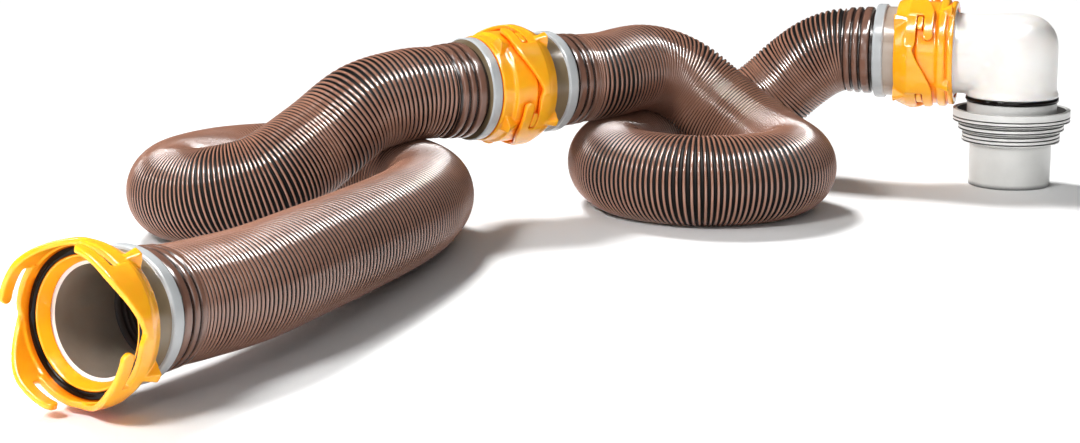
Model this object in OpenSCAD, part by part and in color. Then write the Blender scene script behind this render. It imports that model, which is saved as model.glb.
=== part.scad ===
// Sewer hose kit: two laid runs of corrugated hose, twist-lock fittings, elbow and stepped pipe adapter.
// Units are millimetres. The floor is z = 0 and the origin is the centre of the adapter's pipe end.

/* [View] */
// Which sub-part to draw

/* [Hose] */
// Outer radius of the corrugated hose
hose_r = 40; // [36:0.5:44]
// Wall of the hose, ribs included
hose_wall = 3; // [2:0.5:4]
// Sides of the swept hose
hose_sides = 12; // [8:1:16]
// Length of the moulded cuff at a hose end
cuff_len = 30; // [24:1:40]
// Outer radius of the cuff's rings
cuff_r = 42.5; // [41:0.5:45]

/* [Collar] */
// Clear bore through every collar
bore_r = 37; // [35:0.5:37.5]
// Outer radius of the barb inside the cuff
barb_r = 38.6; // [38:0.1:39.5]
// Flange radius
flange_r = 46.5; // [45:0.5:50]
// Flange width
flange_w = 10; // [8:0.5:12]
// Barrel radius, the swivel journal
barrel_r = 44; // [42:0.5:46]
// Radial running clearance of every swivel
run_gap = 0.06; // [0.02:0.01:0.1]

/* [Bayonet ring] */
// Start of the ring, from the flange's hose side
ring_s = 27; // [26:0.5:28]
// Outer radius at the ring's rear edge
ring_back_r = 50; // [48:0.5:52]
// Outer radius of the ring's rim
ring_rim_r = 54.5; // [53:0.5:56]
// Inner radius of the cup around the gasket
cup_r = 50; // [49.8:0.1:50.4]
// Front of the rim between the hooks
rim_s = 45; // [44:0.5:46]
// Front of the rim under the lug slots
slot_s = 48.5; // [48:0.5:49]
// Width of a lug slot along the axis
slot_w = 7; // [6.6:0.2:8]
// How far the hooks reach
hook_s = 65; // [62:0.5:68]
// Inner radius of the hooks
hook_in_r = 51; // [50.8:0.1:52]
// Outer radius of the hooks
hook_out_r = 55.5; // [54:0.5:58]
// Turn of the front and middle hooks about their axis
hook_turn = 79; // [0:1:90]
// Turn of the rear hooks about their axis
rear_turn = 70; // [0:1:90]
// How much nearer to its flange the rear ring runs
rear_slip = 6; // [4:1:8]

/* [Lug ring] */
// Sealing face, from the flange's hose side
lug_face_s = 53; // [52.5:0.1:53]
// Outer radius of the lugs
lug_r = 54.8; // [53:0.2:55]
// Half width of a lug in degrees
lug_half = 8; // [6:0.5:8.5]
// Radius of the drum that runs inside the hooks
drum_r = 50.3; // [49.5:0.1:50.5]

/* [Elbow and adapter] */
// Height of the elbow's side inlet
inlet_z = 129; // [124:1:134]
// Radius of the elbow's upright leg
elbow_r = 43; // [41:0.5:45]
// Radius of the elbow's side leg
leg_r = 39.5; // [38:0.5:41]
// Outside radius of the plain pipe end
pipe_r = 39.7; // [38:0.1:41]
// Clear bore of the pipe end
pipe_bore_r = 36.5; // [35:0.5:38]
// Radius of the widest thread, four inch pipe thread
thread4_r = 57.15; // [56:0.05:58]
// Radius of the middle thread, three and a half inch pipe thread
thread35_r = 50.8; // [50:0.1:52]
// Height of the adapter
adapter_h = 76; // [72:1:80]

/* [Hidden] */
$fn = 64;
front_at = [-495, -953, 57.5];
front_head = 16;
front_dip = 3;
midl_at = [-464.1566, -325.8801, 121];
mid_head = 38;
midr_gap = 95;
rear_at = [-134, 0, inlet_z];
function dir(h, up) = [sin(h) * cos(up), cos(h) * cos(up), sin(up)];
midr_at = midl_at + midr_gap * dir(mid_head, 0);
rear_ring_at = rear_at - [rear_slip, 0, 0];
elbow_at = rear_ring_at + [midr_gap, 0, 0];

// Route points of the two runs, along the hose's centre line
run1_from = front_at + cuff_len * dir(front_head, -front_dip);
run1_to = midl_at - cuff_len * dir(mid_head, 0);
run1_mid = [
  [-477, -890, 54], [-463, -830, 52], [-456, -740, 50], [-452, -640, 47], [-452, -550, 44],
  [-460, -470, 41], [-479, -396, 40.5], [-529, -341, 40.5], [-590, -311, 40.5], [-646, -316, 40.5],
  [-688, -359, 41], [-699, -426, 42], [-678, -483, 43], [-635, -503, 48], [-592, -488, 60],
  [-561, -447, 85], [-533, -410, 112], [-504, -376, 121]
];
run2_from = midr_at + cuff_len * dir(mid_head, 0);
run2_to = rear_at - [cuff_len, 0, 0];
run2_mid = [
  [-368, -203, 121], [-340, -147, 123], [-307, -122, 109], [-267, -122, 79], [-217, -146, 50],
  [-186, -194, 41], [-203, -259, 41], [-260, -291, 41], [-321, -270, 41], [-355, -214, 41],
  [-360, -150, 41], [-342, -90, 41], [-306, -44, 47], [-270, -18, 60], [-242, -5, 79],
  [-217, 0, 102], [-191, 0, 121]
];
run1 = concat([run1_from], run1_mid, [run1_to]);
run2 = concat([run2_from], run2_mid, [run2_to]);
// Route points where a run comes down on the ground or leaves it
run1_lift = 14;
run2_land = 5;
run2_lift = 13;

// Colours
amber = [0.98, 0.66, 0.10];
taupe = [0.45, 0.38, 0.28];
brown = [0.34, 0.22, 0.17];
black = [0.05, 0.05, 0.05];
frost = [0.95, 0.93, 0.90];
grey = [0.78, 0.78, 0.76];

// Puts a fitting's own +Z along a heading from +Y toward +X, raised by up
module aim(at, h, up) { translate(at) rotate([up - 90, 0, -h]) children(); }
module at_front() { aim(front_at, front_head + 180, front_dip) children(); }
module at_midl() { aim(midl_at, mid_head, 0) children(); }
module at_midr() { aim(midr_at, mid_head + 180, 0) children(); }
module at_rear() { aim(rear_at, 90, 0) children(); }
module at_rear_ring() { aim(rear_ring_at, 90, 0) children(); }
module at_elbow() { aim(elbow_at, 270, 0) children(); }
module spun(pts) { rotate_extrude($fn = 64) polygon(pts); }

// A point on a smooth curve through p1 and p2
function cr(p0, p1, p2, p3, t) = 0.5 * (2 * p1 + (p2 - p0) * t
  + (2 * p0 - 5 * p1 + 4 * p2 - p3) * t * t + (3 * p1 - p0 - 3 * p2 + p3) * t * t * t);
// Two steps to a segment, with end slopes along the fittings' axes
function ends(p, a, b) = concat([p[1] - 2 * norm(p[1] - p[0]) * a], p,
  [p[len(p) - 2] + 2 * norm(p[len(p) - 1] - p[len(p) - 2]) * b]);
function line(q) = concat([for (i = [1:len(q) - 3], t = [0, 0.5])
  cr(q[i - 1], q[i], q[i + 1], q[i + 2], t)], [q[len(q) - 2]]);
function unit(v) = v / norm(v);
// Directions along the line, exact at both ends
function slopes(c, a, b) = [for (i = [0:len(c) - 1])
  i == 0 ? a : i == len(c) - 1 ? b : unit(c[i + 1] - c[i - 1])];
// Cross direction carried along the line without twist
function carried(t, v, i) = i == len(t) ? [] :
  let (w = unit(v - (v * t[i]) * t[i])) concat([w], carried(t, w, i + 1));
function ring(c, t, u, r, n) = let (v = cross(t, u))
  [for (k = [0:n - 1]) c + r * (cos(360 * k / n) * u + sin(360 * k / n) * v)];
// The entries of a list from i up to j
function part_of(q, i, j) = [for (k = [i:j]) q[k]];
// A hollow tube as one closed skin: outer rings, then inner rings, joined at both ends.
// It runs between two of the route's points, with two rings to a segment.
module tube(p, a, b, r, wall, n, first, last) {
  whole = line(ends(p, a, b));
  along = slopes(whole, a, b);
  c = part_of(whole, 2 * first, 2 * last);
  t = part_of(along, 2 * first, 2 * last);
  u = part_of(carried(along, [0, 0, 1], 0), 2 * first, 2 * last);
  m = len(c);
  pts = concat([for (i = [0:m - 1]) each ring(c[i], t[i], u[i], r, n)],
               [for (i = [0:m - 1]) each ring(c[i], t[i], u[i], r - wall, n)]);
  o = m * n;
  skin = [for (i = [0:m - 2], k = [0:n - 1]) let (q = (k + 1) % n)
    each [[i * n + k, (i + 1) * n + k, (i + 1) * n + q], [i * n + k, (i + 1) * n + q, i * n + q]]];
  inner = [for (f = skin) [f[0] + o, f[2] + o, f[1] + o]];
  head = [for (k = [0:n - 1]) let (q = (k + 1) % n) each [[k, q, o + q], [k, o + q, o + k]]];
  z = (m - 1) * n;
  tail = [for (k = [0:n - 1]) let (q = (k + 1) % n)
    each [[z + k, z + o + q, z + q], [z + k, z + o + k, z + o + q]]];
  polyhedron(points = pts, faces = concat(skin, inner, head, tail), convexity = 10);
}

// Moulded cuff: end lip and three rounded rings, from the flange back to the hose
module cuff() {
  r = cuff_r;
  spun([[barb_r - 0.2, 0], [r + 0.5, 0], [r + 1, -1], [r + 1, -4], [r + 0.3, -5], [r - 1.5, -6], [r - 1.5, -7],
        [r, -8.5], [r, -13], [r - 1.5, -14.5], [r - 1.5, -15.5], [r, -17], [r, -20.5], [r - 1.5, -22],
        [r - 1.5, -23], [r - 0.5, -24.5], [r - 0.5, -27.5], [hose_r, -cuff_len],
        [hose_r - hose_wall, -cuff_len], [hose_r - hose_wall, -27], [barb_r - 0.2, -26.5]]);
}
// Collar: barb, flange and journal; s_end is the journal's end, groove is where the bead runs
module collar(s_end, groove) {
  spun([[bore_r, -26], [barb_r - 1, -26], [barb_r, -23], [barb_r, 0], [flange_r - 1, 0], [flange_r, 1],
        [flange_r, flange_w - 1], [flange_r - 1, flange_w], [barrel_r, flange_w], [barrel_r, groove],
        [barrel_r - 1, groove], [barrel_r - 1, groove + 2], [barrel_r, groove + 2],
        [barrel_r, s_end - 0.6], [barrel_r - 0.6, s_end], [bore_r, s_end]]);
}
// A curved plate around the axis: each entry is an angle with the plate's lower and upper edge there
module plate(list, r0, r1) {
  n = len(list);
  function at(r, a, h) = [r * cos(a), r * sin(a), h];
  pts = [for (q = list)
    each [at(r0, q[0], q[1]), at(r1, q[0], q[1]), at(r1, q[0], q[2]), at(r0, q[0], q[2])]];
  side = [for (i = [0:n - 2], k = [0:3]) let (q = (k + 1) % 4)
    each [[i * 4 + k, i * 4 + q, (i + 1) * 4 + q], [i * 4 + k, (i + 1) * 4 + q, (i + 1) * 4 + k]]];
  z = (n - 1) * 4;
  polyhedron(points = pts,
    faces = concat(side, [[0, 2, 1], [0, 3, 2], [z, z + 1, z + 2], [z, z + 2, z + 3]]));
}
// Angles along a hook, from its tip at 0 back to its root
root_a = -74;
slot_a = -28;
function free_edge(a) = rim_s + (hook_s - rim_s) * sin(90 * min(1, (a - root_a) / 46));
hook_plate = concat([for (a = [root_a:4.6:slot_a]) [a, rim_s - 4, free_edge(a) + 0.3]],
  [for (a = [slot_a + 0.3:4.5:-1]) [a, slot_s + slot_w, free_edge(a) + 0.3]],
  [[0.8, slot_s + slot_w + 1.2, hook_s - 2.4], [1.6, slot_s + slot_w + 3, hook_s - 4.6]]);
lip_plate = concat([for (a = [slot_a - 1.2:5:1]) [a, rim_s - 3.3, slot_s]],
  [[6, rim_s - 3.3, slot_s - 0.6], [11, rim_s - 3.3, rim_s + 1.2], [15, rim_s - 3.3, rim_s - 0.5]]);
// A finger ear: a tapered fin whose tip stands out at s1
module ear(s0, s1, r0, r1) {
  rotate([90, 0, 90]) translate([0, 0, r0]) linear_extrude(height = r1 - r0)
    polygon([[-6, s0], [6, s0], [4.5, s1 - 2], [2.5, s1], [-2.5, s1], [-4.5, s1 - 2]]);
}
module bayonet_ring(turn) {
  j = barrel_r + run_gap;
  union() {
    spun([[j, ring_s], [ring_back_r - 1, ring_s], [ring_back_r, ring_s + 1], [ring_rim_r - 1, ring_s + 9],
          [ring_rim_r, ring_s + 12], [ring_rim_r, rim_s - 0.8], [ring_rim_r - 0.8, rim_s], [cup_r, rim_s],
          [cup_r, 39.5], [44.2, 39.5], [44.2, 41.2], [43.6, 41.2], [40.5, 31.3], [42, 31.3], [42, 33.5],
          [j, 33.5], [j, 30], [j - 0.95, 30], [j - 0.95, 28.7], [j, 28.7]]);
    for (k = [0:3]) rotate([0, 0, turn + 90 * k]) {
      plate(hook_plate, hook_in_r, hook_out_r);
      plate(lip_plate, hook_in_r - 0.4, ring_rim_r + 0.3);
      rotate([0, 0, -22]) ear(ring_s + 11.3, ring_s + 0.5, 47, 57.5);
    }
  }
}
// Face gasket in the bayonet ring's cup
module gasket() {
  spun([[44.4, 39.6], [49.4, 39.6], [49.4, 41], [48.7, 41.7], [45.1, 41.7], [44.4, 41]]);
}
// Lip seal in front of a journal that ends at s0
module swivel_seal(s0) {
  spun([[42.2, s0], [43.9, s0], [43.9, s0 + 1.4], [43.4, s0 + 2], [42.7, s0 + 2], [42.2, s0 + 1.4]]);
}
// Lug ring, plain or with a raised band, and its ears between two heights
module lug_ring(banded, ear_turn, ear_base, ear_tip) {
  j = barrel_r + run_gap;
  f = lug_face_s;
  back = banded
    ? [[50.2, 10.6], [51, 11.4], [51, 15.6], [50.2, 16.4], [49.2, 16.4], [49.2, 17.4], [52, 17.4], [53, 18.4],
       [53, 26], [drum_r, 27.5]]
    : [[46.6, 10.6], [47.6, 11.6], [47.6, 22], [drum_r, 24]];
  union() {
    spun(concat([[j, 10.6]], back,
      [[drum_r, 45.2], [49.4, 46.6], [49.4, f - 1], [48.4, f], [39, f], [39, 46.3], [42, 46.3], [42, 48.6],
       [j, 48.6], [j, 34.1], [j - 0.95, 34.1], [j - 0.95, 32.7], [j, 32.7]]));
    for (k = [0:3]) rotate([0, 0, 90 * k]) {
      plate([for (i = [-2:2]) [lug_half * i / 2, 40.2 + (abs(i) == 2 ? 0.7 : 0), 45.9 - (abs(i) == 2 ? 0.7 : 0)]],
        47, lug_r);
      rotate([0, 0, ear_turn]) ear(ear_base, ear_tip, 47, 57.5);
    }
  }
}
// Turn of a lug ring, seen in its own frame, that seats its lugs 18.5 degrees behind the hooks' tips
lug_back = 18.5;
function locked(turn) = 180 - (turn - lug_back);

module front_collar() { color(taupe) at_front() collar(31, 28.3); }
module front_swivel_seal() { color(black) at_front() swivel_seal(31.3); }
module front_bayonet_ring() { color(amber) at_front() bayonet_ring(hook_turn); }
module front_gasket() { color(black) at_front() gasket(); }
module front_hose_head_cuff() { color(brown) at_front() cuff(); }
// The first run between two of its route points
module first_run(first, last) {
  color(brown) tube(run1, dir(front_head, -front_dip), dir(mid_head, 0), hose_r, hose_wall, hose_sides,
                    first, last);
}
module front_hose() { first_run(0, run1_lift); }
module front_hose_rise() { first_run(run1_lift, len(run1) - 1); }
module front_hose_tail_cuff() { color(brown) at_midl() cuff(); }
module mid_left_collar() { color(grey) at_midl() collar(46, 32.3); }
module mid_lug_ring() {
  color(amber) at_midl() rotate([0, 0, locked(hook_turn)]) lug_ring(false, 6, 29, 15);
}
module mid_lug_seal() { color(black) at_midl() swivel_seal(46.3); }
module mid_bayonet_ring() { color(amber) at_midr() bayonet_ring(hook_turn); }
module mid_gasket() { color(black) at_midr() gasket(); }
module mid_swivel_seal() { color(black) at_midr() swivel_seal(31.3); }
module mid_right_collar() { color(taupe) at_midr() collar(31, 28.3); }
module rear_hose_head_cuff() { color(brown) at_midr() cuff(); }
// The second run between two of its route points
module second_run(first, last) {
  color(brown) tube(run2, dir(mid_head, 0), [1, 0, 0], hose_r, hose_wall, hose_sides, first, last);
}
module rear_hose_drop() { second_run(0, run2_land); }
module rear_hose() { second_run(run2_land, run2_lift); }
module rear_hose_rise() { second_run(run2_lift, len(run2) - 1); }
module rear_hose_tail_cuff() { color(brown) at_rear() cuff(); }
module rear_collar() { color(taupe) at_rear() collar(31 - rear_slip, 28.3 - rear_slip); }
module rear_bayonet_ring() { color(amber) at_rear_ring() bayonet_ring(rear_turn); }
module rear_gasket() { color(black) at_rear_ring() gasket(); }
module rear_swivel_seal() { color(black) at_rear_ring() swivel_seal(31.3); }
module elbow_lug_ring() {
  color(amber) at_elbow() rotate([0, 0, locked(rear_turn)]) lug_ring(true, 20, 29, 14);
}
module elbow_lug_seal() { color(black) at_elbow() swivel_seal(46.3); }
module elbow() {
  top = inlet_z + leg_r + 0.5;
  c = 31;
  color(frost) difference() {
    union() {
      spun(concat([[0, 88], [elbow_r - 1, 88], [elbow_r, 89]],
        [for (a = [0:15:90]) [elbow_r - c + c * cos(a), top - c + c * sin(a)]], [[0, top]]));
      translate([-60, 0, inlet_z]) rotate([0, 90, 0]) cylinder(h = 60, r = leg_r, $fn = 64);
      at_elbow() spun([[30, 11.3], [barrel_r - 1.5, 11.3], [barrel_r, 12.8], [barrel_r, 32.3], [barrel_r - 1, 32.3],
        [barrel_r - 1, 34.3], [barrel_r, 34.3], [barrel_r, 45.4], [barrel_r - 0.6, 46], [30, 46]]);
    }
    translate([-100, 0, inlet_z]) rotate([0, 90, 0]) cylinder(h = 100, r = bore_r, $fn = 64);
    translate([0, 0, inlet_z]) sphere(r = bore_r, $fn = 64);
    translate([0, 0, 80]) cylinder(h = inlet_z - 80, r = bore_r, $fn = 64);
    translate([0, 0, 87]) cylinder(h = 9, r = 38.5, $fn = 64);
  }
}
module elbow_gasket() {
  color(black) spun([[40.6, 83.6], [45, 83.6], [45.5, 84.2], [45.5, 87.2], [44.9, 87.9], [40.6, 87.9]]);
}
module elbow_spigot() {
  color(grey) spun([[pipe_bore_r, 47], [barrel_r - 1.2, 47], [barrel_r - 0.2, 48.2], [barrel_r - 0.2, 83.5],
    [40.5, 83.5], [40.5, 88], [38.4, 88], [38.4, 95.9], [pipe_bore_r, 95.9]]);
}
// Threads are plain ridges, so each step keeps its true outside size
function ridges(r, z0, z1, n, d) = [for (i = [0:n - 1]) let (p = (z1 - z0) / n, z = z0 + i * p)
  each [[r - d, z], [r, z + p * 0.35], [r, z + p * 0.65], [r - d, z + p]]];
module sewer_adapter() {
  b = barrel_r - 0.2 + run_gap;
  color(grey) spun(concat([[pipe_bore_r, 0], [pipe_r, 0], [pipe_r, 40], [44, 42.5]],
    ridges(47.5, 43, 51.5, 2, 1.2), ridges(thread35_r, 53, 61.5, 2, 1.4), ridges(thread4_r, 65, 74.5, 2, 1.6),
    [[thread4_r - 1, adapter_h - 0.6], [thread4_r - 1.8, adapter_h], [thread4_r - 3, adapter_h],
     [thread4_r - 4, adapter_h - 2], [47.5, 64], [47.5, 61.2], [b, 61.2], [b, 46.5], [pipe_bore_r, 44]]));
}
module adapter_seal() {
  b = barrel_r - 0.2;
  color(black) spun([[b + 0.3, 61.3], [47.4, 61.3], [47.4, 63.2], [46.6, 63.9], [b + 1.1, 63.9], [b + 0.3, 63.2]]);
}

front_bayonet_ring();
front_gasket();
front_swivel_seal();
front_collar();
front_hose_head_cuff();
front_hose();
front_hose_rise();
front_hose_tail_cuff();
mid_left_collar();
mid_lug_ring();
mid_lug_seal();
mid_bayonet_ring();
mid_gasket();
mid_swivel_seal();
mid_right_collar();
rear_hose_head_cuff();
rear_hose_drop();
rear_hose();
rear_hose_rise();
rear_hose_tail_cuff();
rear_collar();
rear_bayonet_ring();
rear_gasket();
rear_swivel_seal();
elbow_lug_ring();
elbow_lug_seal();
elbow();
elbow_gasket();
elbow_spigot();
sewer_adapter();
adapter_seal();
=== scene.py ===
"""A laid-out sewer hose kit: two corrugated hoses with bayonet fittings, an elbow and a stepped adapter."""

import math

import bpy
import numpy as np
from mathutils import Matrix, Vector


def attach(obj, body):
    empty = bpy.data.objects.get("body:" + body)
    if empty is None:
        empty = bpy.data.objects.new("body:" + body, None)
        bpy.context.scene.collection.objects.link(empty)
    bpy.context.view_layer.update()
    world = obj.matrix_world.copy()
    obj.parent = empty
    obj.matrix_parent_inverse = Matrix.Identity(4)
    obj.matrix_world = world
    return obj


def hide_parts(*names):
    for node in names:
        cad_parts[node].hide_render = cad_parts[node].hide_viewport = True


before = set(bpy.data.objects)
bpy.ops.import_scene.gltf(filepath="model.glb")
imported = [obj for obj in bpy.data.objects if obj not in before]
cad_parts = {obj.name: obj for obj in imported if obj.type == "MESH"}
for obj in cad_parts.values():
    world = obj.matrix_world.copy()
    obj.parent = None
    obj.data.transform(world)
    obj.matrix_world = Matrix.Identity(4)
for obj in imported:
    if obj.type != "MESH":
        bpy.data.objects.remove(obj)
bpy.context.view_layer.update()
MM = 0.001


# ---------------------------------------------------------------- places, as the CAD model has them
def direction(heading, up=0.0):
    """A unit vector at a heading from +Y toward +X, raised by up degrees."""
    h, u = math.radians(heading), math.radians(up)
    return Vector((math.sin(h) * math.cos(u), math.cos(h) * math.cos(u), math.sin(u)))


def aim(at, heading, up=0.0):
    """A matrix that puts a fitting's own +Z along a heading, at a place in metres."""
    turn = Matrix.Rotation(math.radians(-heading), 4, "Z") @ Matrix.Rotation(math.radians(up - 90), 4, "X")
    return Matrix.Translation(at) @ turn


CUFF = 0.030
SPAN = 0.095
REAR_SLIP = 0.006
FRONT = Vector((-0.495, -0.953, 0.0575))
FRONT_HEADING, FRONT_DIP, MID_HEADING = 16.0, 3.0, 38.0
MID_LEFT = Vector((-0.4641566, -0.3258801, 0.121))
MID_RIGHT = MID_LEFT + SPAN * direction(MID_HEADING)
INLET_Z = 0.129
REAR = Vector((-0.134, 0.0, INLET_Z))
REAR_RING = REAR - Vector((REAR_SLIP, 0, 0))
ELBOW_END = REAR_RING + Vector((SPAN, 0, 0))
HOOK_TURN, REAR_TURN, LUG_BACK = 79.0, 70.0, 18.5

AT_FRONT = aim(FRONT, FRONT_HEADING + 180, FRONT_DIP)
AT_MID_LEFT = aim(MID_LEFT, MID_HEADING)
AT_MID_RIGHT = aim(MID_RIGHT, MID_HEADING + 180)
AT_REAR = aim(REAR, 90)
AT_REAR_RING = aim(REAR_RING, 90)
AT_ELBOW = aim(ELBOW_END, 270)

RUN_1 = [
    tuple(FRONT + CUFF * direction(FRONT_HEADING, -FRONT_DIP)),
    (-0.477, -0.890, 0.054), (-0.463, -0.830, 0.052), (-0.456, -0.740, 0.050), (-0.452, -0.640, 0.047),
    (-0.452, -0.550, 0.044), (-0.460, -0.470, 0.041), (-0.479, -0.396, 0.0405), (-0.529, -0.341, 0.0405),
    (-0.590, -0.311, 0.0405), (-0.646, -0.316, 0.0405), (-0.688, -0.359, 0.041), (-0.699, -0.426, 0.042),
    (-0.678, -0.483, 0.043), (-0.635, -0.503, 0.048), (-0.592, -0.488, 0.060), (-0.561, -0.447, 0.085),
    (-0.533, -0.410, 0.112), (-0.504, -0.376, 0.121),
    tuple(MID_LEFT - CUFF * direction(MID_HEADING)),
]
RUN_2 = [
    tuple(MID_RIGHT + CUFF * direction(MID_HEADING)),
    (-0.368, -0.203, 0.121), (-0.340, -0.147, 0.123), (-0.307, -0.122, 0.109), (-0.267, -0.122, 0.079),
    (-0.217, -0.146, 0.050), (-0.186, -0.194, 0.041), (-0.203, -0.259, 0.041), (-0.260, -0.291, 0.041),
    (-0.321, -0.270, 0.041), (-0.355, -0.214, 0.041), (-0.360, -0.150, 0.041), (-0.342, -0.090, 0.041),
    (-0.306, -0.044, 0.047), (-0.270, -0.018, 0.060), (-0.242, -0.005, 0.079), (-0.217, 0.0, 0.102),
    (-0.191, 0.0, 0.121),
    tuple(REAR - Vector((CUFF, 0, 0))),
]

# ---------------------------------------------------------------- camera
CAMERA_AT = (0.1422, -2.2495, 0.4023)
CAMERA_DIP, CAMERA_TURN = 11.305, 15.566  # degrees below level, and left of +Y

camera_data = bpy.data.cameras.new("camera")
camera_data.lens = 75.0
camera_data.sensor_width = 36.0
camera_data.clip_end = 100.0
camera = bpy.data.objects.new("camera", camera_data)
camera.location = CAMERA_AT
camera.rotation_euler = (math.radians(90 - CAMERA_DIP), 0.0, math.radians(CAMERA_TURN))
bpy.context.scene.collection.objects.link(camera)
bpy.context.scene.camera = camera


# ---------------------------------------------------------------- materials
def material(name):
    """A new node material with its shader, and a helper that adds and links nodes."""
    made = bpy.data.materials.new(name)
    made.use_nodes = True
    tree = made.node_tree
    shader = tree.nodes["Principled BSDF"]

    def add(kind, inputs=(), **settings):
        node = tree.nodes.new(kind)
        for key, value in settings.items():
            setattr(node, key, value)
        for key, value in dict(inputs).items():
            if isinstance(value, bpy.types.NodeSocket):
                tree.links.new(value, node.inputs[key])
            else:
                node.inputs[key].default_value = value
        return node

    return made, tree, shader, add


def ramp(add, factor, stops):
    """A colour ramp over a factor: stops are (place, colour)."""
    node = add("ShaderNodeValToRGB", {"Fac": factor})
    elements = node.color_ramp.elements
    while len(elements) < len(stops):
        elements.new(0.5)
    for element, (place, colour) in zip(elements, stops):
        element.position = place
        element.color = (*colour, 1.0) if len(colour) == 3 else colour
    return node.outputs["Color"]


def bump(add, tree, shader, height, strength, distance):
    """Surface relief from a height of 0 to 1, over a distance in metres."""
    node = add("ShaderNodeBump", {"Height": height, "Strength": strength, "Distance": distance})
    tree.links.new(node.outputs["Normal"], shader.inputs["Normal"])


def place(add):
    """The surface point, in the object's own coordinates."""
    return add("ShaderNodeTexCoord").outputs["Object"]


CLEAR_AT = 0.91


def painted_hollow_shade(add, tree, tone, reach, full_at, shade_tone):
    """The tone with painted shade: deepened where the surface is enclosed within a reach in metres. The shade
    colour is full at an openness of full_at, and gone at CLEAR_AT."""
    enclosed = add("ShaderNodeAmbientOcclusion", {"Distance": reach}, samples=6).outputs["AO"]
    shaded = add("ShaderNodeMix", data_type="RGBA", blend_type="MULTIPLY")
    factor, first, second = shaded.inputs[0], shaded.inputs[6], shaded.inputs[7]
    factor.default_value = 1.0
    tree.links.new(tone, first)
    tree.links.new(ramp(add, enclosed, [(full_at, shade_tone), (CLEAR_AT, (1.0, 1.0, 1.0))]), second)
    return shaded.outputs[2]


def amber_plastic():
    """Saturated amber moulding with faint flow marks and scuffs, and painted shade: deeper orange in its
    hollows.
    """
    made, tree, shader, add = material("amber_plastic")
    spot = place(add)
    flow = add("ShaderNodeTexNoise", {"Vector": spot, "Scale": 38.0, "Detail": 4.0, "Roughness": 0.55})
    tone = ramp(add, flow.outputs["Fac"], [(0.25, (1.0, 0.405, 0.008)), (0.75, (1.0, 0.455, 0.014))])
    # painted shade: the amber turns deeper orange where the surface is enclosed
    tone = painted_hollow_shade(add, tree, tone, reach=0.014, full_at=0.20, shade_tone=(0.86, 0.26, 0.05))
    tree.links.new(tone, shader.inputs["Base Color"])
    scuff = add("ShaderNodeTexNoise", {"Vector": spot, "Scale": 160.0, "Detail": 5.0, "Roughness": 0.65})
    rough = add("ShaderNodeMapRange", {"Value": scuff.outputs["Fac"], "From Min": 0.35, "From Max": 0.75,
                                       "To Min": 0.15, "To Max": 0.24})
    tree.links.new(rough.outputs["Result"], shader.inputs["Roughness"])
    shader.inputs["Subsurface Weight"].default_value = 0.30
    shader.inputs["Subsurface Radius"].default_value = (1.0, 0.35, 0.05)
    shader.inputs["Subsurface Scale"].default_value = 0.004
    shader.inputs["Coat Weight"].default_value = 0.15
    shader.inputs["Coat Roughness"].default_value = 0.12
    bump(add, tree, shader, flow.outputs["Fac"], strength=0.10, distance=0.0005)
    return made


def hose_vinyl():
    """Glossy vinyl. The mesh's rib attribute sets its tone, as painted shade: 1 on a crest, and 0, near
    black, in a fold.
    """
    made, tree, shader, add = material("hose_vinyl")
    spot = place(add)
    rib = add("ShaderNodeAttribute", attribute_name="rib").outputs["Fac"]
    cloud = add("ShaderNodeTexNoise", {"Vector": spot, "Scale": 22.0, "Detail": 3.0, "Roughness": 0.5})
    drift = add("ShaderNodeMath", {0: cloud.outputs["Fac"], 1: 0.16}, operation="MULTIPLY")
    level = add("ShaderNodeMath", {0: rib, 1: drift.outputs["Value"]}, operation="ADD")
    # the ramp paints shade, from the crest's brown down to near black in the fold
    tone = ramp(add, level.outputs["Value"], [
        (0.15, (0.0015, 0.0008, 0.0006)), (0.50, (0.030, 0.013, 0.009)),
        (0.82, (0.165, 0.077, 0.049)), (1.0, (0.290, 0.142, 0.096))])
    tree.links.new(tone, shader.inputs["Base Color"])
    fine = add("ShaderNodeTexNoise", {"Vector": spot, "Scale": 420.0, "Detail": 3.0, "Roughness": 0.6})
    sheen = add("ShaderNodeMapRange", {"Value": rib, "From Min": 0.25, "From Max": 0.96,
                                       "To Min": 0.80, "To Max": 0.07})
    mottle = add("ShaderNodeMath", {0: fine.outputs["Fac"], 1: 0.05}, operation="MULTIPLY")
    rough = add("ShaderNodeMath", {0: sheen.outputs["Result"], 1: mottle.outputs["Value"]}, operation="ADD")
    tree.links.new(rough.outputs["Value"], shader.inputs["Roughness"])
    shader.inputs["IOR"].default_value = 1.68
    bump(add, tree, shader, fine.outputs["Fac"], strength=0.10, distance=0.0002)
    return made


def cuff_vinyl():
    """Soft brown moulded cuff with slight mottling, a waxy gloss, and painted shade in its grooves."""
    made, tree, shader, add = material("cuff_vinyl")
    spot = place(add)
    cloud = add("ShaderNodeTexNoise", {"Vector": spot, "Scale": 30.0, "Detail": 4.0, "Roughness": 0.55})
    tone = ramp(add, cloud.outputs["Fac"], [(0.3, (0.150, 0.072, 0.049)), (0.7, (0.205, 0.100, 0.068))])
    # painted shade: near black where the cuff's grooves enclose the surface
    tone = painted_hollow_shade(add, tree, tone, reach=0.007, full_at=0.45, shade_tone=(0.04, 0.03, 0.03))
    tree.links.new(tone, shader.inputs["Base Color"])
    fine = add("ShaderNodeTexNoise", {"Vector": spot, "Scale": 300.0, "Detail": 4.0, "Roughness": 0.6})
    rough = add("ShaderNodeMapRange", {"Value": fine.outputs["Fac"], "To Min": 0.14, "To Max": 0.28})
    tree.links.new(rough.outputs["Result"], shader.inputs["Roughness"])
    shader.inputs["Coat Weight"].default_value = 0.3
    shader.inputs["Coat Roughness"].default_value = 0.08
    bump(add, tree, shader, fine.outputs["Fac"], strength=0.08, distance=0.0002)
    return made


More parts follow.
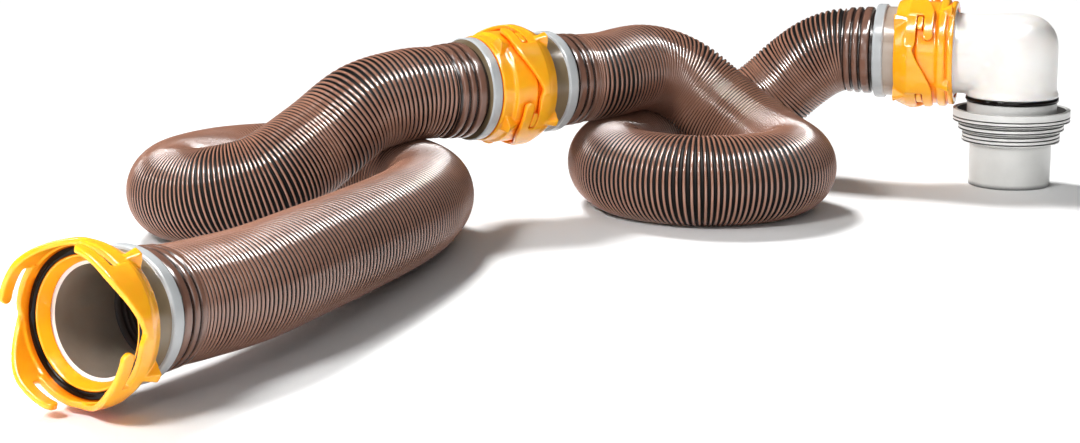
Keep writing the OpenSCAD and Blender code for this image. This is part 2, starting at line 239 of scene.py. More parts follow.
def plain_plastic(name, tones, gloss, hollow_shade=None, extra=()):
    """A moulded plastic. Its colour drifts between two tones, and its roughness between two values. The
    hollow reach, in metres, paints shade into the grooves within it, and extra sets more of the shader's
    inputs."""
    made, tree, shader, add = material(name)
    spot = place(add)
    cloud = add("ShaderNodeTexNoise", {"Vector": spot, "Scale": 26.0, "Detail": 4.0, "Roughness": 0.5})
    tone = ramp(add, cloud.outputs["Fac"], [(0.3, tones[0]), (0.7, tones[1])])
    if hollow_shade:
        tone = painted_hollow_shade(add, tree, tone, reach=hollow_shade, full_at=0.40, shade_tone=(0.10, 0.10, 0.10))
    tree.links.new(tone, shader.inputs["Base Color"])
    fine = add("ShaderNodeTexNoise", {"Vector": spot, "Scale": 260.0, "Detail": 4.0, "Roughness": 0.6})
    rough = add("ShaderNodeMapRange", {"Value": fine.outputs["Fac"], "To Min": gloss[0], "To Max": gloss[1]})
    tree.links.new(rough.outputs["Result"], shader.inputs["Roughness"])
    bump(add, tree, shader, fine.outputs["Fac"], strength=0.08, distance=0.0002)
    for key, value in dict(extra).items():
        shader.inputs[key].default_value = value
    return made


AMBER = amber_plastic()
HOSE = hose_vinyl()
# near-black painted shade for the faces of the hose's open folds
FOLD_SHADE = plain_plastic("hose_fold_shade", ((0.0012, 0.0007, 0.0005), (0.0030, 0.0016, 0.0012)), (0.45, 0.60),
                      extra={"Specular IOR Level": 0.15})
CUFF_VINYL = cuff_vinyl()
# near-black painted shade for the cuff's grooves and lips
CUFF_GROOVE_SHADE = plain_plastic("cuff_groove_shade", ((0.016, 0.009, 0.007), (0.032, 0.018, 0.014)), (0.16, 0.28))
BORE = plain_plastic("collar_bore", ((0.18, 0.152, 0.122), (0.23, 0.198, 0.165)), (0.12, 0.22))
TAUPE = plain_plastic("collar_taupe", ((0.165, 0.118, 0.066), (0.215, 0.158, 0.092)), (0.16, 0.28))
FLANGE = plain_plastic("collar_grey", ((0.40, 0.42, 0.43), (0.48, 0.50, 0.51)), (0.18, 0.32))
# a lighter copy of the taupe, painted light for the rear collar's barrel, which catches more light
LIT_TAUPE = plain_plastic("collar_taupe_lit", ((0.36, 0.30, 0.245), (0.44, 0.375, 0.315)), (0.16, 0.28))
FROST = plain_plastic("elbow_frost", ((0.80, 0.770, 0.735), (0.86, 0.835, 0.81)), (0.26, 0.40),
                      extra={"Subsurface Weight": 0.35, "Subsurface Radius": (1.0, 0.7, 0.5),
                             "Subsurface Scale": 0.006})
# painted shade in the adapter's thread grooves
GREY = plain_plastic("adapter_grey", ((0.60, 0.60, 0.58), (0.70, 0.70, 0.68)), (0.24, 0.40), hollow_shade=0.005)
DARK_GREY = plain_plastic("adapter_inside", ((0.045, 0.042, 0.040), (0.070, 0.066, 0.062)), (0.35, 0.5))
RUBBER = plain_plastic("seal_rubber", ((0.002, 0.0015, 0.0015), (0.006, 0.004, 0.003)), (0.08, 0.18),
                       extra={"IOR": 1.24})


# ---------------------------------------------------------------- mesh helpers
def new_object(name, vertices, faces, materials, face_slots=None, smooth_angle=40.0):
    """A smooth-shaded mesh object, with edges sharper than smooth_angle kept sharp unless it is 0."""
    mesh = bpy.data.meshes.new(name)
    mesh.from_pydata([tuple(v) for v in vertices], [], faces)
    for m in materials:
        mesh.materials.append(m)
    if face_slots is not None:
        mesh.polygons.foreach_set("material_index", face_slots)
    mesh.validate()
    mesh.update()
    mesh.shade_smooth()
    if smooth_angle:
        mesh.set_sharp_from_angle(angle=math.radians(smooth_angle))
    made = bpy.data.objects.new(name, mesh)
    bpy.context.scene.collection.objects.link(made)
    return made


FLAT_ENOUGH = math.radians(88)  # a corner whose half angle is over this is left as it is
FILLET_SHARE = 0.49  # the most of an edge that one fillet takes


def rounded(points, steps=4):
    """A closed outline with its corners rounded: points are (r, z) or (r, z, fillet)."""
    out, n = [], len(points)
    for i, point in enumerate(points):
        here = Vector(point[:2])
        fillet = point[2] if len(point) > 2 else 0.0
        back = Vector(points[i - 1][:2]) - here
        on = Vector(points[(i + 1) % n][:2]) - here
        half = back.angle(on, math.pi) / 2 if back.length and on.length else math.pi / 2
        if fillet <= 0 or half > FLAT_ENOUGH:
            out.append(tuple(here))
            continue
        reach = min(fillet / math.tan(half), FILLET_SHARE * back.length, FILLET_SHARE * on.length)
        radius = reach * math.tan(half)
        start, end = here + back.normalized() * reach, here + on.normalized() * reach
        centre = here + (back.normalized() + on.normalized()).normalized() * radius / math.sin(half)
        a, b = start - centre, end - centre
        swing = a.angle_signed(b, 0.0)
        for k in range(steps + 1):
            t = -swing * k / steps
            out.append(tuple(centre + Vector((a.x * math.cos(t) - a.y * math.sin(t),
                                              a.x * math.sin(t) + a.y * math.cos(t)))))
    return out


def spin(outline, segments=144):
    """Vertices and quads of a closed outline, in millimetres, turned right round the Z axis."""
    n = len(outline)
    vertices, faces = [], []
    for k in range(segments):
        a = math.radians(360.0 * k / segments)
        vertices += [(r * math.cos(a) * MM, r * math.sin(a) * MM, z * MM) for r, z in outline]
    for k in range(segments):
        q = (k + 1) % segments
        faces += [(k * n + i, q * n + i, q * n + (i + 1) % n, k * n + (i + 1) % n) for i in range(n)]
    return vertices, faces


def put(made, matrix, body, slot_name, *nodes):
    """Moves a local mesh to its place, parents it to its body's empty and hides the CAD nodes it stands for.
    slot_name, its finish, is not used.
    """
    made.data.transform(matrix)
    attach(made, body)
    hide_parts(*nodes)
    return made


def settle(made):
    """Applies the object's modifiers to its mesh."""
    graph = bpy.context.evaluated_depsgraph_get()
    mesh = bpy.data.meshes.new_from_object(made.evaluated_get(graph))
    made.modifiers.clear()
    made.data = mesh


def fused(made, voxel, passes):
    """Overlapping closed shells made one skin with soft moulded fillets."""
    remesh = made.modifiers.new("fuse", "REMESH")
    remesh.mode = "VOXEL"
    remesh.voxel_size = voxel
    remesh.use_smooth_shade = True
    smooth = made.modifiers.new("soften", "SMOOTH")
    smooth.factor = 0.5
    smooth.iterations = passes
    settle(made)
    made.data.shade_smooth()
    return made


# ---------------------------------------------------------------- hose
ROUTE_STEPS = 40  # curve points between two of the route's points
LINE_STEP = 0.001
BEND_WINDOW = 15  # steps that the curvature is averaged over


def route_line(points, first, last):
    """A smooth curve through the route's points with end slopes along the fittings' axes."""
    p = np.array(points, float)
    before = p[1] - 2 * np.linalg.norm(p[1] - p[0]) * np.array(first)
    after = p[-2] + 2 * np.linalg.norm(p[-1] - p[-2]) * np.array(last)
    q = np.vstack([before, p, after])
    out = []
    for i in range(1, len(q) - 2):
        p0, p1, p2, p3 = q[i - 1], q[i], q[i + 1], q[i + 2]
        for t in np.arange(ROUTE_STEPS) / ROUTE_STEPS:
            out.append(0.5 * (2 * p1 + (p2 - p0) * t + (2 * p0 - 5 * p1 + 4 * p2 - p3) * t * t
                              + (3 * p1 - p0 - 3 * p2 + p3) * t ** 3))
    out.append(q[-2])
    return np.array(out)


def averaged(table):
    """A table's columns, each averaged over a moving window."""
    window = np.ones(BEND_WINDOW) / BEND_WINDOW
    padded = [np.pad(table[:, i], BEND_WINDOW // 2, mode="edge") for i in range(3)]
    return np.stack([np.convolve(column, window, "valid") for column in padded], 1)


class Line:
    """A hose's centre line: its length, and tables of places c, slopes t, cross directions u and v, and
    curvature k, at distances s along it."""

    def __init__(self, points, first, last):
        dense = route_line(points, first, last)
        run = np.concatenate([[0], np.cumsum(np.linalg.norm(np.diff(dense, axis=0), axis=1))])
        self.length = run[-1]
        count = int(self.length / LINE_STEP) + 1
        self.s = np.linspace(0, self.length, count)
        self.c = np.stack([np.interp(self.s, run, dense[:, i]) for i in range(3)], 1)
        t = np.gradient(self.c, self.s, axis=0)
        t[0], t[-1] = first, last
        self.t = t / np.linalg.norm(t, axis=1)[:, None]
        self.k = averaged(np.gradient(self.t, self.s, axis=0))
        u, v = [], np.array([0, 0, 1.0])
        for slope in self.t:
            v = v - (v @ slope) * slope
            v /= np.linalg.norm(v)
            u.append(v)
        self.u = np.array(u)
        self.v = np.cross(self.t, self.u)

    def at(self, table, s):
        """A table's value at distances s. Places carry on straight past the ends."""
        inside = np.clip(s, 0, self.length)
        found = np.stack([np.interp(inside, self.s, table[:, i]) for i in range(3)], -1)
        if table is self.c:
            past = np.where(s < 0, s, np.where(s > self.length, s - self.length, 0.0))
            slope = np.where((s < 0)[..., None], self.t[0], self.t[-1])
            found += past[..., None] * slope
        return found

    def out(self, s, around):
        """Directions out from the line at distances s and angles round it."""
        return np.cos(around)[..., None] * self.at(self.u, s) + np.sin(around)[..., None] * self.at(self.v, s)


RIB_R = 0.0411  # radius of a rib's crest
RIB_W = 0.0028
RIB_SHARE = 0.60  # the most of a pitch that a rib takes
RIB_H = 0.0013
FOLD = 0.0044  # the deepest that a fold goes below the crests
FOLD_SHARE = 0.55  # how far a fold goes below the ribs' height, over the width of its gap
TUCK = 0.004  # how far the skin runs on into its fittings
RESTS_AT = 0.0003  # the lowest that the skin comes to the floor
WINDING_STEPS = 6000
SQUEEZE_LIMITS = (0.25, 3.0)  # pitch at the surface over pitch on the line

# each turn has six rings: crest, shoulder, foot, bottom of the fold, foot and shoulder
SAMPLES = 6
SHOULDER = 0.84  # a shoulder's place between crest and foot
SHOULDER_DROP, FOOT_DROP = 0.18, 0.62  # how far down the rib they lie
# the tones paint shade down each rib's flanks, to near black at the bottom of the fold
RIB_SHADE_TONES = (1.0, 0.86, 0.74, 0.0, 0.74, 0.86)
CLOSED_TONE = 0.84  # the tone of ribs pressed together
CLOSED_GAP = 0.0006  # a gap under this counts as closing

BORE_PITCH = 0.0045
RIBBED_R, RIBBED_DIP_R = 0.0362, 0.0385  # the bore's radius at its ribs and between them


def rib_rings(step, pitch, squeeze):
    """For each point of each ring: its phase in the turn, its depth below the crest, its tone, which paints
    shade darker down into the fold, and how far the fold beside it has closed. Ribs keep their width, so on
    the inside of a bend they close up, and on the outside the folds open."""
    local = pitch * np.clip(squeeze, *SQUEEZE_LIMITS)
    width = np.minimum(RIB_W, RIB_SHARE * pitch)
    half = np.clip(0.5 * width / local, 0.0, 0.42)
    gap = np.clip(local - width, 0.0, None)
    level = 0 * half
    phase = np.choose(step, [level, SHOULDER * half, half, level + 0.5, 1 - half, 1 - SHOULDER * half])
    bead = np.minimum(RIB_H, 0.45 * local)
    fold = np.clip(bead + np.minimum(FOLD_SHARE * gap, FOLD), 0.0, FOLD)
    shoulder, foot = SHOULDER_DROP * bead, FOOT_DROP * bead
    low = np.choose(step, [level, shoulder, foot, fold, foot, shoulder])
    tone = np.choose(step, [level + value for value in RIB_SHADE_TONES])
    closed = np.clip(1 - gap / CLOSED_GAP, 0.0, 1.0)
    return phase, low, tone + (CLOSED_TONE - tone) * closed, closed


def skin_faces(rings, sides, closed):
    """The quads and their material slots, 1, the painted fold shade, in an open fold. A ring's last quad
    joins the next turn.
    """
    faces, slots = [], []
    for k in range(rings - 1):
        for j in range(sides):
            last = j == sides - 1
            if last and k + 1 + SAMPLES >= rings:
                continue
            here = k * sides + j
            beside = (k + SAMPLES) * sides if last else here + 1
            faces.append((here, beside, beside + sides, here + sides))
            slots.append(1 if k % SAMPLES in (2, 3) and closed[k, j] < 0.5 else 0)
    return faces, slots


def end_loops(rings, sides):
    """The skin's two open edges: each is a ring and the seam's step back to the ring's start."""
    top = rings - 1
    first = list(range(sides)) + [k * sides for k in range(SAMPLES, 0, -1)]
    last = [top * sides + j for j in range(sides - 1, -1, -1)]
    last += [k * sides for k in range(top - SAMPLES + 1, top)]
    return first, last


def bore_steps(depth):
    """Rings of the ribbed bore: place along, radius and tone; the tones paint the bore dark as shade, near
    black between its ribs.
    """
    out = [(-TUCK, 0.0372, 0.05)]
    for i in range(int(depth / BORE_PITCH)):
        s = i * BORE_PITCH
        out += [(s, RIBBED_R, 0.30), (s + 0.4 * BORE_PITCH, 0.0360, 0.30),
                (s + 0.7 * BORE_PITCH, RIBBED_DIP_R, 0.0)]
    return out


def add_bore(line, depth, loop, sides, vertices, tones, faces):
    """The skin turned in at its first end and run back down the bore. Gives the bore's last loop."""
    for s, radius, shade in bore_steps(depth):
        s = np.array([s])
        here = []
        for m in range(len(loop)):
            around = 2 * math.pi * m / sides if m < sides else 0.0
            # the seam's points share a direction, so each is set a hair further out than the one before
            shift = 0.00001 * (m - sides + 1) if m >= sides else 0.0
            out = math.cos(around) * line.at(line.u, s)[0] + math.sin(around) * line.at(line.v, s)[0]
            here.append(len(vertices))
            vertices.append((line.at(line.c, s)[0] + (radius + shift) * out).tolist())
            tones.append(shade)
        for m in range(len(loop)):
            q = (m + 1) % len(loop)
            faces.append((loop[m], here[m], here[q], loop[q]))
        loop = here
    return loop


def add_end_wall(line, s, loop, vertices, tones, faces):
    """A fan of triangles that closes a loop at a point on the centre line, painted near black as shade."""
    centre = len(vertices)
    vertices.append(line.at(line.c, np.array([s]))[0].tolist())
    tones.append(0.0)
    faces += [(loop[m], centre, loop[(m + 1) % len(loop)]) for m in range(len(loop))]


def corrugated(name, line, pitches, sides, mouth_depth=0.0):
    """A vinyl hose over a wire helix, whose bore is open to mouth_depth at its first end. pitches are
    (length along, rib pitch), in millimetres."""
    pitch_at, pitch_is = (np.array(pitches, float) * MM).T
    places = np.linspace(-TUCK, line.length + TUCK, WINDING_STEPS)
    winding = np.cumsum(np.diff(places) / np.interp(places[:-1], pitch_at, pitch_is))
    turns = np.concatenate([[0], winding])
    rings = (int(turns[-1]) - 1) * SAMPLES
    ring = np.arange(rings)
    angle = np.arange(sides) / sides
    around = 2 * math.pi * angle[None, :]
    turn = (ring // SAMPLES)[:, None] + angle[None, :]
    crest = np.interp(turn, turns, places)
    pitch = np.interp(crest, pitch_at, pitch_is)
    squeeze = 1 - RIB_R * np.sum(line.at(line.k, crest) * line.out(crest, around), axis=-1)
    phase, low, tone, closed = rib_rings((ring % SAMPLES)[:, None], pitch, squeeze)
    s = np.interp(turn + phase, turns, places)
    points = line.at(line.c, s) + (RIB_R - low)[..., None] * line.out(s, around)
    points[..., 2] = np.maximum(points[..., 2], RESTS_AT)

    vertices = points.reshape(-1, 3).tolist()
    tones = tone.reshape(-1).tolist()
    faces, slots = skin_faces(rings, sides, closed)
    mouth, tail = end_loops(rings, sides)
    if mouth_depth:
        mouth = add_bore(line, mouth_depth, mouth, sides, vertices, tones, faces)
    add_end_wall(line, mouth_depth, mouth, vertices, tones, faces)
    add_end_wall(line, line.length, tail, vertices, tones, faces)
    slots += [0] * (len(faces) - len(slots))
    made = new_object(name, vertices, faces, [HOSE, FOLD_SHADE], slots, smooth_angle=0)
    layer = made.data.attributes.new("rib", "FLOAT", "POINT")
    layer.data.foreach_set("value", tones[: len(made.data.vertices)])
    return made


LINE_1 = Line(RUN_1, direction(FRONT_HEADING, -FRONT_DIP), direction(MID_HEADING))
LINE_2 = Line(RUN_2, direction(MID_HEADING), (1.0, 0.0, 0.0))
PITCH_1 = [(0, 3.7), (60, 4.4), (150, 5.8), (230, 6.6), (400, 6.8), (520, 6.4), (640, 5.4), (760, 3.4),
           (1000, 2.9), (1060, 3.6), (1100, 4.5), (1215, 4.5)]
PITCH_2 = [(0, 3.4), (70, 5.2), (130, 4.4), (200, 3.4), (330, 4.6), (430, 3.8), (530, 4.0), (700, 5.0),
           (780, 5.4), (850, 4.2), (943, 3.4)]
hose_1 = corrugated("front_hose_skin", LINE_1, PITCH_1, 56, mouth_depth=0.09)
hose_2 = corrugated("rear_hose_skin", LINE_2, PITCH_2, 64)


# ---------------------------------------------------------------- cuffs and collars
CUFF_OUTLINE = [
    (38.7, 0), (39.9, 0, 0.4), (39.9, -3.4, 0.6), (42.6, -4.4, 1.4), (43.2, -6.2, 1.6), (43.2, -11.6, 2.2),
    (40.0, -13.2, 0.5), (40.0, -14.6, 0.5), (42.8, -15.8, 1.8), (42.8, -19.8, 2.0), (39.9, -21.2, 0.5),
    (39.9, -22.6, 0.5), (42.2, -23.8, 1.6), (42.2, -27.4, 1.8), (40.0, -29.0, 0.6), (39.2, -30.6, 0.4),
    (37.2, -30.6, 0.4), (37.2, -27.0), (38.7, -26.4),
]


# faces within this radius get the painted groove shade
CUFF_SHADE_R = 40.9  # grooves and lips within this radius are dark


def cuff(name, matrix, node):
    """A moulded cuff with two grooves round it, whose grooves and lips are painted near black as shade."""
    vertices, faces = spin(rounded(CUFF_OUTLINE, 6))
    # the faces in the grooves get painted shade
    dark = [1 if max(math.hypot(*vertices[i][:2]) for i in face) < CUFF_SHADE_R * MM else 0 for face in faces]
    made = new_object(name, vertices, faces, [CUFF_VINYL, CUFF_GROOVE_SHADE], dark)
    return put(made, matrix, "root", "cuff_vinyl", node)


SHORT_JOURNAL, LONG_JOURNAL = 31.0, 46.0  # how far a journal reaches, in millimetres
COLLAR_BORE_R, BARB_R, COLLAR_JOURNAL_R, GROOVE_R, FLANGE_R = 37.0, 38.5, 44.0, 43.0, 46.5
FLANGE_TOP = 10.0


def collar_slot(r, z, end):
    """The material slot of a collar's face, from its mean radius and height: flange, barrel, bore or lip."""
    if z > end - 0.7:
        return 3
    if r > COLLAR_JOURNAL_R + 0.05 and z < FLANGE_TOP + 0.2:
        return 0
    return 2 if r < COLLAR_BORE_R + 0.3 else 1


def collar(name, matrix, end, node, barrel=TAUPE):
    """Barb, flange and swivel journal; end is how far the journal reaches."""
    groove = end - (2.7 if end < LONG_JOURNAL else 13.7)
    outline = rounded([
        (COLLAR_BORE_R, -26, 0.5), (37.8, -26, 0.4), (BARB_R, -23), (BARB_R, -0.1), (45.9, -0.1, 0.9),
        (FLANGE_R, 1.6, 0.9), (FLANGE_R, 8.8, 1.2), (45.6, FLANGE_TOP, 0.6),
        (COLLAR_JOURNAL_R, FLANGE_TOP, 0.5), (COLLAR_JOURNAL_R, groove), (GROOVE_R, groove),
        (GROOVE_R, groove + 2), (COLLAR_JOURNAL_R, groove + 2), (COLLAR_JOURNAL_R, end - 0.5, 0.4),
        (43.2, end, 0.4), (COLLAR_BORE_R, end, 0.6)])
    vertices, faces = spin(outline)
    slots = []
    for face in faces:
        z = sum(vertices[i][2] for i in face) / 4 / MM
        r = sum(math.hypot(vertices[i][0], vertices[i][1]) for i in face) / 4 / MM
        slots.append(collar_slot(r, z, end))
    made = new_object(name, vertices, faces, [FLANGE, barrel, BORE, FROST], slots)
    return put(made, matrix, "root", "collar_plastic", node)


cuff("front_head_cuff_skin", AT_FRONT, "front_hose_head_cuff")
front_tail = [cuff("front_tail_cuff_skin", AT_MID_LEFT, "front_hose_tail_cuff")]
cuff("rear_head_cuff_skin", AT_MID_RIGHT, "rear_hose_head_cuff")
rear_tail = [cuff("rear_tail_cuff_skin", AT_REAR, "rear_hose_tail_cuff")]
collar("front_collar_skin", AT_FRONT, SHORT_JOURNAL, "front_collar")
front_tail.append(collar("mid_left_collar_skin", AT_MID_LEFT, LONG_JOURNAL, "mid_left_collar"))
collar("mid_right_collar_skin", AT_MID_RIGHT, SHORT_JOURNAL, "mid_right_collar")
rear_tail.append(collar("rear_collar_skin", AT_REAR, SHORT_JOURNAL - REAR_SLIP / MM, "rear_collar", LIT_TAUPE))

for hose, line, nodes, fittings in (
    (hose_1, LINE_1, ("front_hose", "front_hose_rise"), front_tail),
    (hose_2, LINE_2, ("rear_hose_drop", "rear_hose", "rear_hose_rise"), rear_tail),
):
    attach(hose, "root")
    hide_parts(*nodes)


# ---------------------------------------------------------------- seals
def gasket(name, matrix, body, node):
    """The face gasket in a bayonet ring's cup."""
    outline = rounded([(44.4, 39.6, 0.6), (49.5, 39.6, 0.6), (49.5, 41.9, 1.1), (44.4, 41.9, 1.1)], 5)
    made = new_object(name, *spin(outline), [RUBBER])
    return put(made, matrix, body, "seal_rubber", node)


gasket("front_gasket_skin", AT_FRONT, "front_ring", "front_gasket")
gasket("mid_gasket_skin", AT_MID_RIGHT, "mid_ring", "mid_gasket")
gasket("rear_gasket_skin", AT_REAR_RING, "rear_ring", "rear_gasket")
ELBOW_GASKET = [(40.6, 83.6), (45.0, 83.6, 0.8), (45.6, 85.6, 1.6), (45.0, 87.9, 0.8), (40.6, 87.9)]
elbow_gasket = new_object("elbow_gasket_skin", *spin(rounded(ELBOW_GASKET, 5)), [RUBBER])
put(elbow_gasket, Matrix.Identity(4), "elbow", "seal_rubber", "elbow_gasket")


# ---------------------------------------------------------------- bayonet and lug rings
HOOKS = 4
JOURNAL_R = 44.06
# along a bayonet ring's axis: its rim, the slot's lower edge and width, and the hooks' top
RIM_S, SLOT_S, SLOT_W, HOOK_S = 45.0, 48.5, 7.0, 65.0
ROOT_S = RIM_S - 5
HOOK_IN, HOOK_OUT = 51.0, 55.3
LIP_IN, LIP_OUT = 50.2, 54.6
EASE_A, SLOT_A = -82.0, -28.0  # where a hook starts to rise, and where its slot starts, in degrees
EAR_HALF, EAR_TOP_HALF, EAR_FOOT_HALF = 8.5, 3.4, 3.0
RING_SEGMENTS = 200
RING_VOXEL, RING_PASSES = 0.0007, 7


def plate(entries, r0, r1):
    """A closed curved plate round the axis: each entry is (angle, lower edge, upper edge)."""
    vertices, faces = [], []
    for a, low, high in entries:
        c, s = math.cos(math.radians(a)), math.sin(math.radians(a))
        vertices += [(r0 * c, r0 * s, low), (r1 * c, r1 * s, low),
                     (r1 * c, r1 * s, high), (r0 * c, r0 * s, high)]
    for i in range(len(entries) - 1):
        for k in range(4):
            q = (k + 1) % 4
            faces.append((i * 4 + k, (i + 1) * 4 + k, (i + 1) * 4 + q, i * 4 + q))
    z = (len(entries) - 1) * 4
    faces += [(0, 1, 2, 3), (z + 3, z + 2, z + 1, z)]
    return [(x * MM, y * MM, h * MM) for x, y, h in vertices], faces


def ear(back, front, low_r, peak_r, base_r):
    """A thumb ear: its flat end stands up at s = back, and it ramps down to a narrow foot at s = front."""
    points = [
        (low_r - 4, -EAR_HALF, back), (low_r - 4, EAR_HALF, back), (low_r, EAR_HALF, back),
        (peak_r, EAR_TOP_HALF, back), (peak_r, -EAR_TOP_HALF, back), (low_r, -EAR_HALF, back),
        (base_r - 5, -EAR_FOOT_HALF, front), (base_r - 5, EAR_FOOT_HALF, front), (base_r, 2.4, front),
        (base_r + 0.2, 1.0, front), (base_r + 0.2, -1.0, front), (base_r, -2.4, front)]
    faces = [(0, 1, 2, 3, 4, 5), (11, 10, 9, 8, 7, 6)]
    faces += [(k, k + 6, (k + 1) % 6 + 6, (k + 1) % 6) for k in range(6)]
    if back > front:
        faces = [tuple(reversed(f)) for f in faces]
    return [(x * MM, y * MM, z * MM) for x, y, z in points], faces


def turned(part, angle):
    """A part turned about the Z axis, in degrees."""
    vertices, faces = part
    c, s = math.cos(math.radians(angle)), math.sin(math.radians(angle))
    return [(x * c - y * s, x * s + y * c, z) for x, y, z in vertices], faces


def joined(parts):
    """Several parts as one list of vertices and faces."""
    vertices, faces = [], []
    for v, f in parts:
        base = len(vertices)
        vertices += v
        faces += [tuple(base + i for i in face) for face in f]
    return vertices, faces


def free_edge(a):
    """How high a hook's free edge stands at an angle."""
    rise = min(1.0, (a - EASE_A) / (SLOT_A - EASE_A))
    return RIM_S + (HOOK_S - RIM_S) * math.sin(math.radians(90 * rise ** 1.35))


def hook():
    """One hook: a rising blade whose end is a free prong over the lug slot."""
    slot_top = SLOT_S + SLOT_W
    entries = [(a, ROOT_S, free_edge(a)) for a in np.arange(EASE_A, SLOT_A + 0.01, 2.0)]
    entries += [(a, slot_top, free_edge(a)) for a in np.arange(SLOT_A + 0.4, -2.0, 1.6)]
    entries += [(-1.6, slot_top + 0.4, HOOK_S - 0.9), (0.0, slot_top + 1.2, HOOK_S - 2.2),
                (1.2, slot_top + 2.8, HOOK_S - 4.4)]
    return plate(entries, HOOK_IN, HOOK_OUT)


def lip():
    """The rim's raised lip under the slot."""
    entries = [(a, ROOT_S, SLOT_S) for a in np.arange(SLOT_A - 3, 2.1, 2.0)]
    for a in np.arange(4.0, 16.1, 2.0):
        fade = 0.5 + 0.5 * math.cos(math.pi * (a - 2) / 14)
        entries.append((a, ROOT_S, RIM_S + (SLOT_S - RIM_S) * fade))
    return plate(entries, LIP_IN, LIP_OUT)


def bayonet_mesh():
    """The bayonet ring in its own frame, made once and copied."""
    body = rounded([
        (JOURNAL_R, 27, 0.5), (49.4, 27, 0.9), (50.4, 28.4, 1.2), (53.6, 35.6, 4.0), (LIP_OUT, 38.6, 3.0),
        (LIP_OUT, 44.2, 0.9), (53.8, RIM_S, 0.8), (50.0, RIM_S, 0.8), (50.0, 39.5, 0.3), (44.2, 39.5, 0.2),
        (44.2, 41.2, 0.4), (43.0, 41.2, 0.4), (39.0, 32.4, 0.4), (39.0, 31.4, 0.3), (42.2, 31.4),
        (42.2, 33.4), (JOURNAL_R, 33.4)])
    thumb = ear(back=26.6, front=41.0, low_r=48.0, peak_r=58.2, base_r=54.0)
    parts = [spin(body, RING_SEGMENTS)]
    for k in range(HOOKS):
        at = 360 // HOOKS * k
        parts += [turned(hook(), at), turned(lip(), at), turned(thumb, at - 22)]
    made = new_object("bayonet_pattern", *joined(parts), [AMBER])
    return fused(made, RING_VOXEL, RING_PASSES)


def lug():
    """One lug, whose two ends are eased."""
    entries = []
    for a in (-8, -4, 0, 4, 8):
        eased = 0.5 * (abs(a) > 7)
        entries.append((a, 40.2 + eased, 45.8 - eased))
    return plate(entries, 46.5, 54.8)


def lug_mesh(name, banded, ear_turn, ear_tip):
    """A lug ring in its own frame, plain or with a raised band."""
    if banded:
        back = [(50.4, 10.6, 0.8), (51.2, 12.0, 0.8), (51.2, 15.4, 0.8), (49.4, 16.6, 0.3), (49.4, 17.2, 0.3),
                (52.2, 18.0, 0.6), (53.0, 19.6, 0.8), (53.0, 25.0, 1.2), (50.3, 27.2, 0.8)]
    else:
        back = [(46.8, 10.6, 0.8), (47.6, 12.0, 0.8), (47.6, 22.2, 0.6), (50.3, 24.0, 0.8)]
    body = rounded([(JOURNAL_R, 10.6, 0.3)] + back + [
        (50.3, 45.4, 0.6), (49.2, 46.8, 0.5), (49.2, 52.2, 0.6), (48.4, 53, 0.6), (39.0, 53, 0.6),
        (39.0, 46.4), (42.2, 46.4), (42.2, 48.6), (JOURNAL_R, 48.6)])
    thumb = ear(back=ear_tip, front=29.0, low_r=47.5, peak_r=57.8, base_r=50.5)
    parts = [spin(body, RING_SEGMENTS)]
    for k in range(HOOKS):
        at = 360 // HOOKS * k
        parts += [turned(lug(), at), turned(thumb, at + ear_turn)]
    made = new_object(name, *joined(parts), [AMBER])
    return fused(made, RING_VOXEL, RING_PASSES)


pattern = bayonet_mesh()
for name, matrix, turn, body, node in (
    ("front_bayonet_skin", AT_FRONT, HOOK_TURN, "front_ring", "front_bayonet_ring"),
    ("mid_bayonet_skin", AT_MID_RIGHT, HOOK_TURN, "mid_ring", "mid_bayonet_ring"),
    ("rear_bayonet_skin", AT_REAR_RING, REAR_TURN, "rear_ring", "rear_bayonet_ring"),
):
    copy = bpy.data.objects.new(name, pattern.data.copy())
    bpy.context.scene.collection.objects.link(copy)
    put(copy, matrix @ Matrix.Rotation(math.radians(turn), 4, "Z"), body, "amber_plastic", node)
bpy.data.objects.remove(pattern)

for name, matrix, turn, body, node, banded, ear_turn, ear_tip in (
    ("mid_lug_skin", AT_MID_LEFT, HOOK_TURN, "mid_lug", "mid_lug_ring", False, 6, 15.0),
    ("elbow_lug_skin", AT_ELBOW, REAR_TURN, "elbow_lug", "elbow_lug_ring", True, 20, 14.0),
):
    made = lug_mesh(name, banded, ear_turn, ear_tip)
    locked = 180 - (turn - LUG_BACK)
    put(made, matrix @ Matrix.Rotation(math.radians(locked), 4, "Z"), body, "amber_plastic", node)


# ---------------------------------------------------------------- elbow
LEG_R, UPRIGHT_R = 39.5, 43.0
LEG_BORE_R, UPRIGHT_BORE_R = 37.0, 38.5
UPRIGHT_LOW, LEG_REACH = 88.0, 58
DOME_CORNER = 31.0  # radius of the elbow's rounded top edge
FOOT_FLARE = 2.2  # how far the upright's foot stands out
TUBE_SEGMENTS = 160
AXIS_R = 0.001  # the radius of an outline's ends on the axis
ELBOW_VOXEL, ELBOW_PASSES = 0.0009, 24
BORES_VOXEL, BORES_PASSES = 0.0012, 2
BLEND_X, BLEND_Z, BLEND_FADE = -0.055, 0.096, 0.004  # the junction starts here, over a fade in metres
BLEND_PASSES = 160


def tube_part(radius, low, high):
    """A closed cylinder along Z, in millimetres."""
    n = TUBE_SEGMENTS
    vertices, faces = [], []
    for z in (low, high):
        for k in range(n):
            a = 2 * math.pi * k / n
            vertices.append((radius * MM * math.cos(a), radius * MM * math.sin(a), z * MM))
    for k in range(n):
        q = (k + 1) % n
        faces.append((k, q, n + q, n + k))
    faces += [tuple(range(n - 1, -1, -1)), tuple(range(n, 2 * n))]
    return vertices, faces


def moved(part, matrix):
    """A part put in its place by a matrix."""
    vertices, faces = part
    return [tuple(matrix @ Vector(v)) for v in vertices], faces


